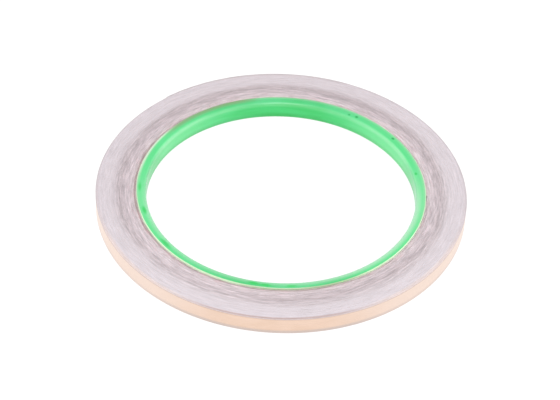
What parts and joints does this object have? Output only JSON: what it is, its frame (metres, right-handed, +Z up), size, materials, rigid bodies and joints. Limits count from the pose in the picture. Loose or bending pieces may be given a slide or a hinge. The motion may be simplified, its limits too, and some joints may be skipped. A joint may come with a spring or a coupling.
{
  "type": "copper foil tape roll",
  "caption": "Roll of copper foil tape with adhesive and paper liner, wound foil side out on a thin moulded plastic core, with a free end that lifts and peels.",
  "frame": {"origin": "centre of the bore, at the plane of the core's lower rim that the roll lies on", "axes": "+Z up along the bore axis; +Y points towards the side where the free end of the tape lies"},
  "size_m": [0.1046, 0.1048, 0.0059],
  "materials": {
    "core_plastic": "moulded, slightly translucent light green",
    "glue": "dried glue film",
    "packed_tape": "edges of tightly wound copper foil and release paper",
    "liner_paper": "smooth release paper",
    "adhesive": "thin clear acrylic film",
    "copper_foil": "bright rolled copper, soft sheen"
  },
  "bodies": {
    "roll": {"core_ring": "core_plastic", "start_bond": "glue", "packed_turns": "packed_tape", "liner_turns": "liner_paper", "adhesive_turns": "adhesive", "foil_turns": "copper_foil"},
    "tail_lead": {"liner_lead": "liner_paper", "adhesive_lead": "adhesive", "foil_lead": "copper_foil"},
    "tail_mid": {"liner_mid": "liner_paper", "adhesive_mid": "adhesive", "foil_mid": "copper_foil"},
    "tail_end": {"liner_end": "liner_paper", "adhesive_end": "adhesive", "foil_end": "copper_foil"},
    "foil_peel": {"adhesive_tip": "adhesive", "foil_tip": "copper_foil"}
  },
  "joints": [
    {"name": "tail_lift", "type": "hinge", "parent": "roll", "child": "tail_lead", "pos_m": [0.01616, 0.04989, 0.00295], "axis": [0, 0, -1], "range_deg": [0, 60]},
    {"name": "mid_bend", "type": "hinge", "parent": "tail_lead", "child": "tail_mid", "pos_m": [-0.00188, 0.05242, 0.00295], "axis": [0, 0, -1], "range_deg": [0, 9]},
    {"name": "end_bend", "type": "hinge", "parent": "tail_mid", "child": "tail_end", "pos_m": [-0.0197, 0.04864, 0.00295], "axis": [0, 0, -1], "range_deg": [0, 9]},
    {"name": "liner_peel", "type": "hinge", "parent": "tail_end", "child": "foil_peel", "pos_m": [-0.02548, 0.04588, 0.00295], "axis": [0, 0, -1], "range_deg": [0, 100]}
  ],
  "couplings": [
    {"joint": "mid_bend", "follows": "tail_lift", "ratio": 0.15},
    {"joint": "end_bend", "follows": "tail_lift", "ratio": 0.15}
  ]
}
